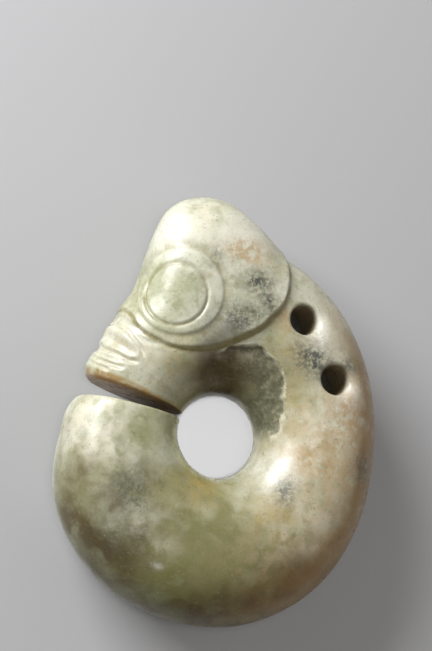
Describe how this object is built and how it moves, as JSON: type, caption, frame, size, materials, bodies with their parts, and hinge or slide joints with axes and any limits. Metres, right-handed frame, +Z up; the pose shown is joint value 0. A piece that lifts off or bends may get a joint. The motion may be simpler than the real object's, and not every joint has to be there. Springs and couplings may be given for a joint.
{
  "type": "carved jade dragon ornament",
  "caption": "Jade dragon curled into a thick C-shaped ring, with a round bore, a slit between snout and tail, and cord holes through the nape.",
  "frame": {"origin": "on the surface it lies on, under the middle of its bounding box", "axes": "+Z up out of the upper face, +Y from the bottom of the ring to the ears, +X from the snout to the nape"},
  "size_m": [0.1062, 0.14, 0.04],
  "materials": {
    "jade": "polished, slightly translucent pale green nephrite with russet and grey clouds"
  },
  "bodies": {
    "root": {"jade_dragon": "jade"}
  },
  "joints": []
}
